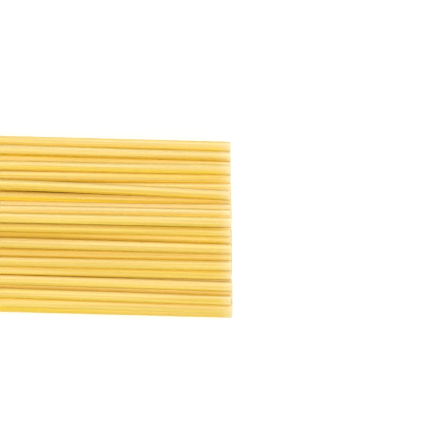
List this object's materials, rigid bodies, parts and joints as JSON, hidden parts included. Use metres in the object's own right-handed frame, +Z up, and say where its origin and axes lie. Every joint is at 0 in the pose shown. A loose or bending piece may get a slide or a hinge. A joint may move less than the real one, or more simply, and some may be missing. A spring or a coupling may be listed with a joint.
{
  "type": "bundle of dry spaghetti",
  "caption": "Low heap of dry spaghetti strands lying side by side, with both cut ends nearly flush, for kitchens, shops and food scenes.",
  "frame": {"origin": "centre of the bundle's footprint, on the surface that it lies on", "axes": "+X along the strands towards the cut end that the picture shows, +Y across the bundle towards the picture's top edge, +Z up"},
  "size_m": [0.2562, 0.0328, 0.0107],
  "materials": {
    "dry_pasta": "dry golden pasta, satin, slightly translucent, with paler cut ends"
  },
  "bodies": {
    "root": {"spaghetti_bundle": "dry_pasta"}
  },
  "joints": []
}
